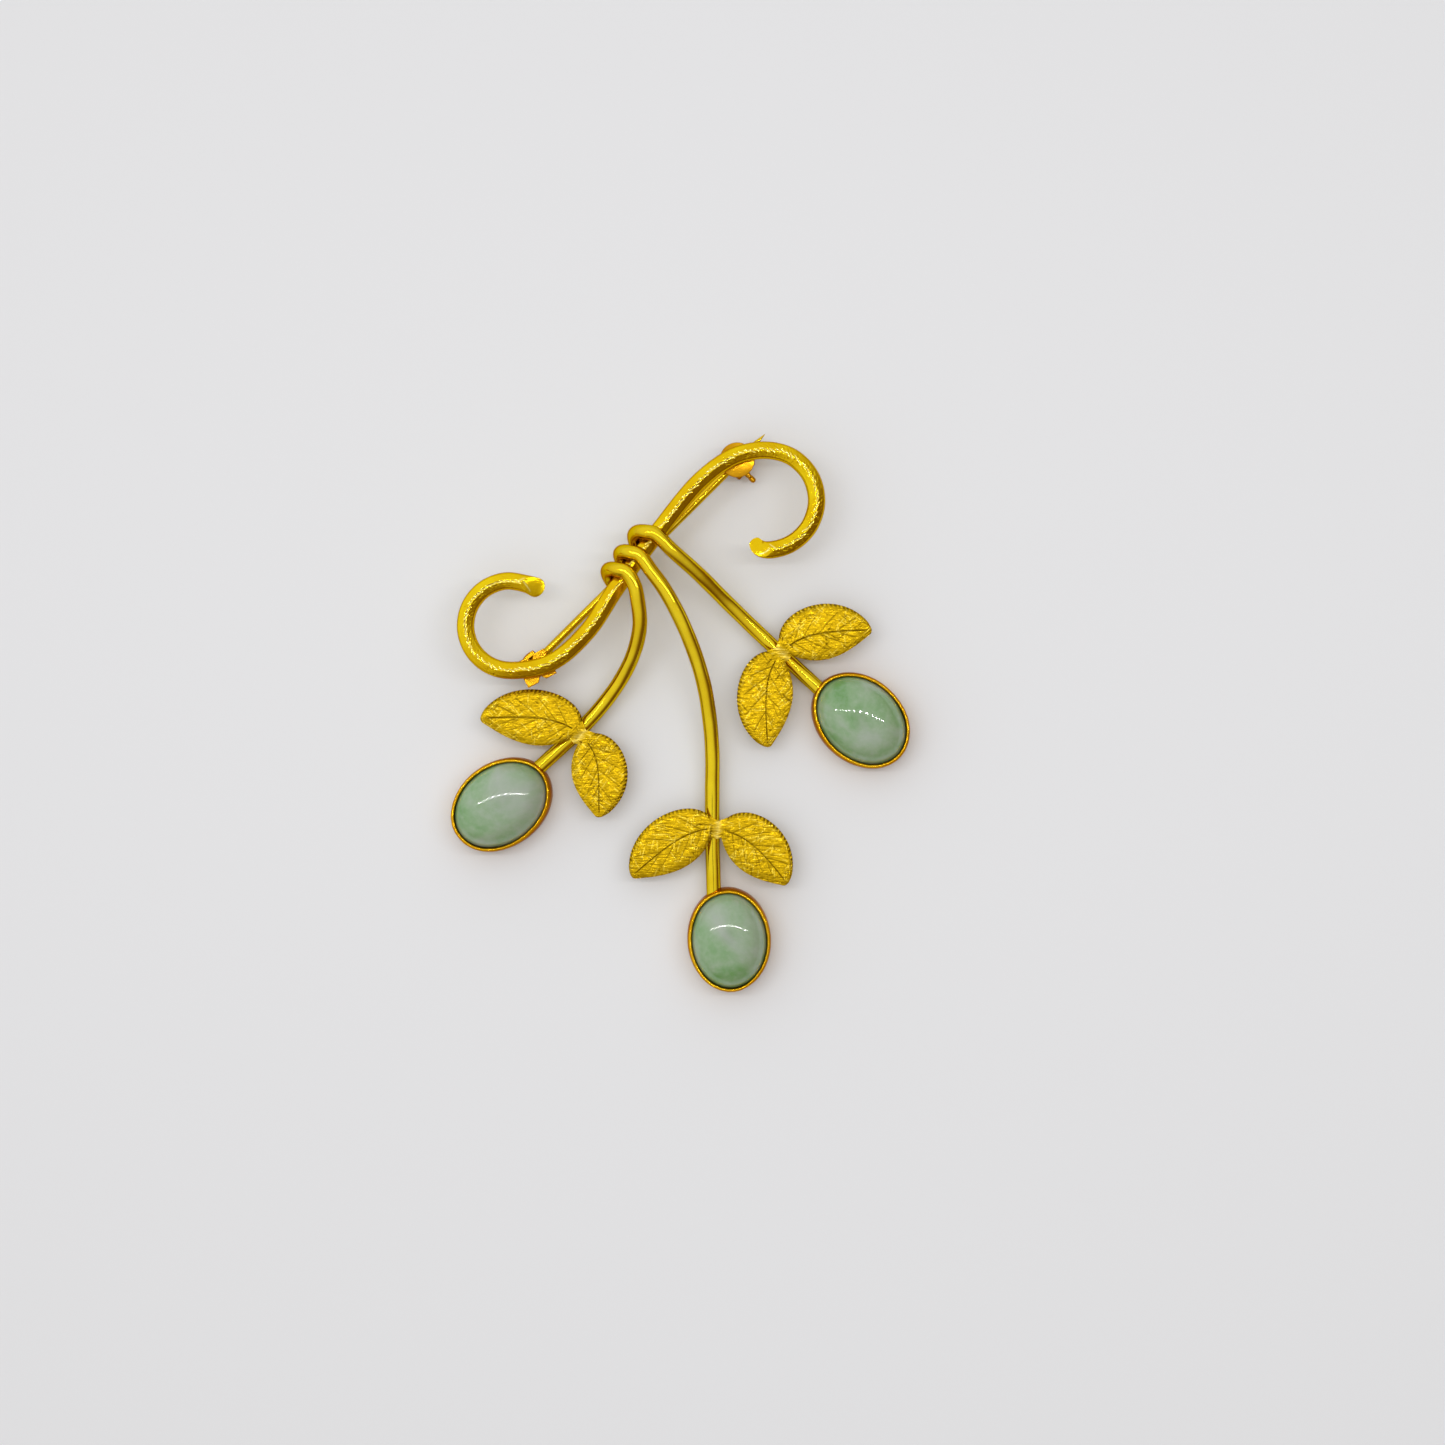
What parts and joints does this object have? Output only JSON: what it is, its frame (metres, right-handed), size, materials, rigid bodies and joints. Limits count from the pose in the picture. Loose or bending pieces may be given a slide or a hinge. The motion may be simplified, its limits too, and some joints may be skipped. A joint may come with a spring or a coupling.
{
  "type": "brooch",
  "caption": "Curled bar brooch with wrapped wire stems, paired leaves and oval stone berries in bezel cups, with a hinged pin tongue and a turning catch behind.",
  "frame": {"origin": "on the plane the brooch rests on, under the middle of its outline", "axes": "+Z away from the wearer, towards whoever looks at the brooch; +Y up, from the berries to the curled bar; +X to the viewer's right"},
  "size_m": [0.0461, 0.0561, 0.0069],
  "materials": {
    "engraved_gold": "polished yellow gold with an engraved ridge",
    "polished_gold": "polished pale yellow gold wire",
    "brushed_gold": "florentine brushed yellow gold with engraved veins",
    "bezel_gold": "burnished deep yellow gold",
    "finding_gold": "tumbled deep yellow gold",
    "pin_gold": "drawn and polished gold wire",
    "jade": "polished mottled green jade"
  },
  "bodies": {
    "spray": {"scroll_bar": "engraved_gold", "stem_left": "polished_gold", "stem_middle": "polished_gold", "stem_right": "polished_gold", "leaf_pair_left": "brushed_gold", "leaf_pair_middle": "brushed_gold", "leaf_pair_right": "brushed_gold", "bezel_back_left": "bezel_gold", "bezel_back_middle": "bezel_gold", "bezel_back_right": "bezel_gold", "bezel_band_left": "bezel_gold", "bezel_band_middle": "bezel_gold", "bezel_band_right": "bezel_gold", "cabochon_left": "jade", "cabochon_middle": "jade", "cabochon_right": "jade", "hinge_base": "finding_gold", "hinge_rivet": "finding_gold", "catch_base": "finding_gold"},
    "tongue": {"pin_tongue": "pin_gold"},
    "lock": {"catch_lock": "finding_gold"}
  },
  "joints": [
    {"name": "tongue_hinge", "type": "hinge", "parent": "spray", "child": "tongue", "pos_m": [-0.01475, 0.00498, 0.00145], "axis": [-0.7059, 0.7083, 0], "range_deg": [0, 95]},
    {"name": "lock_turn", "type": "hinge", "parent": "spray", "child": "lock", "pos_m": [0.00551, 0.02517, 0.00145], "axis": [0.7083, 0.7059, 0], "range_deg": [0, 100]}
  ]
}
